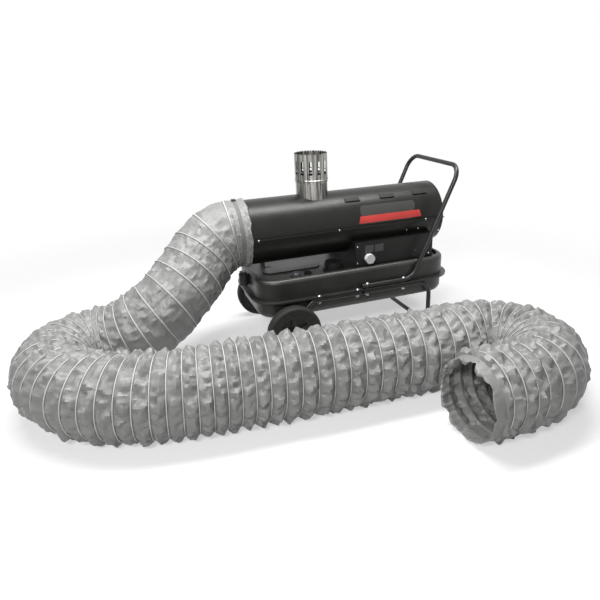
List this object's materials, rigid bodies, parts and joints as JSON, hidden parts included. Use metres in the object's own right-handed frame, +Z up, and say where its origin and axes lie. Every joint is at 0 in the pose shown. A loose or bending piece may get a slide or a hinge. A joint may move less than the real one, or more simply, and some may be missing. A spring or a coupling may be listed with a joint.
{
  "type": "indirect fired space heater",
  "caption": "Wheeled oil-fired warm air heater: a round steel casing with flue over a fuel tank, tube handle and legs, with a ribbed flexible air duct laid out on the floor.",
  "frame": {"origin": "middle of the heater's own box, without its duct, on the floor", "axes": "+X from the duct outlet to the fan and handle end, along the casing; +Z up; -Y is the side with the knob and label"},
  "size_m": [1.66, 1.2421, 0.692],
  "materials": {
    "casing_paint": "satin",
    "frame_paint": "satin",
    "tank_paint": "satin",
    "bright_steel": "satin",
    "zinc_fixings": "gloss",
    "bare_steel": "matte",
    "cast_alloy": "satin",
    "copper_pipe": "satin",
    "black_plastic": "matte",
    "knob_plastic": "satin",
    "display_plastic": "gloss",
    "lamp_lens": "gloss",
    "board": "satin",
    "wheel_plastic": "satin",
    "tyre_rubber": "matte",
    "label_film": "satin",
    "stripe_film": "satin",
    "duct_fabric": "satin",
    "strap_webbing": "matte"
  },
  "bodies": {
    "heater": {"upper_shell": "casing_paint", "lower_shell": "casing_paint", "seam_screws": "zinc_fixings", "side_screws": "zinc_fixings", "outlet_ring": "casing_paint", "rear_guard": "casing_paint", "fan_motor": "bare_steel", "motor_bracket": "bare_steel", "fuel_pump": "cast_alloy", "burner_head": "cast_alloy", "combustion_chamber": "bare_steel", "heat_exchanger": "bare_steel", "exchanger_saddles": "bare_steel", "flue_sleeve": "bright_steel", "flue_cowl": "bright_steel", "casing_support": "casing_paint", "control_housing": "casing_paint", "control_panel": "casing_paint", "panel_screws": "zinc_fixings", "thermostat": "black_plastic", "display_bezels": "display_plastic", "display_modules": "display_plastic", "indicator_lamp": "lamp_lens", "circuit_board": "board", "ignition_transformer": "black_plastic", "cable_gland": "black_plastic", "tank_upper": "tank_paint", "tank_lower": "tank_paint", "filler_neck": "tank_paint", "fuel_gauge": "cast_alloy", "tank_vent": "black_plastic", "fuel_pickup": "bare_steel", "fuel_line": "copper_pipe", "fuel_filter": "black_plastic", "filter_screw": "zinc_fixings", "drain_plug": "cast_alloy", "handle": "frame_paint", "leg_hoop": "frame_paint", "wheel_frame_left": "frame_paint", "wheel_frame_right": "frame_paint", "flange_bolts": "zinc_fixings", "flange_nuts": "zinc_fixings", "axle": "zinc_fixings", "axle_caps": "black_plastic", "side_label": "label_film", "label_stripe": "stripe_film", "duct_cuff": "duct_fabric", "duct_strap": "strap_webbing", "strap_buckle": "black_plastic", "duct_hose": "duct_fabric", "mouth_hem": "duct_fabric"},
    "wheel_left": {"wheel_rim_left": "wheel_plastic", "tyre_left": "tyre_rubber"},
    "wheel_right": {"wheel_rim_right": "wheel_plastic", "tyre_right": "tyre_rubber"},
    "fan": {"fan": "bare_steel", "motor_shaft": "bare_steel"},
    "knob": {"thermostat_knob": "knob_plastic", "thermostat_spindle": "bare_steel"},
    "filler_cap": {"filler_cap": "black_plastic"}
  },
  "joints": [
    {"name": "wheel_left_spin", "type": "hinge", "parent": "heater", "child": "wheel_left", "pos_m": [-0.28, -0.222, 0.1], "axis": [0, 1, 0], "continuous": true},
    {"name": "wheel_right_spin", "type": "hinge", "parent": "heater", "child": "wheel_right", "pos_m": [-0.28, 0.222, 0.1], "axis": [0, 1, 0], "continuous": true},
    {"name": "fan_spin", "type": "hinge", "parent": "heater", "child": "fan", "pos_m": [0.339, 0, 0.426], "axis": [1, 0, 0], "continuous": true},
    {"name": "knob_turn", "type": "hinge", "parent": "heater", "child": "knob", "pos_m": [0.053, -0.15, 0.3083], "axis": [0, -1, 0], "range_deg": [-270, 0]},
    {"name": "filler_cap_turn", "type": "hinge", "parent": "heater", "child": "filler_cap", "pos_m": [-0.073, -0.095, 0.285], "axis": [0, 0, 1], "range_deg": [0, 90]}
  ]
}
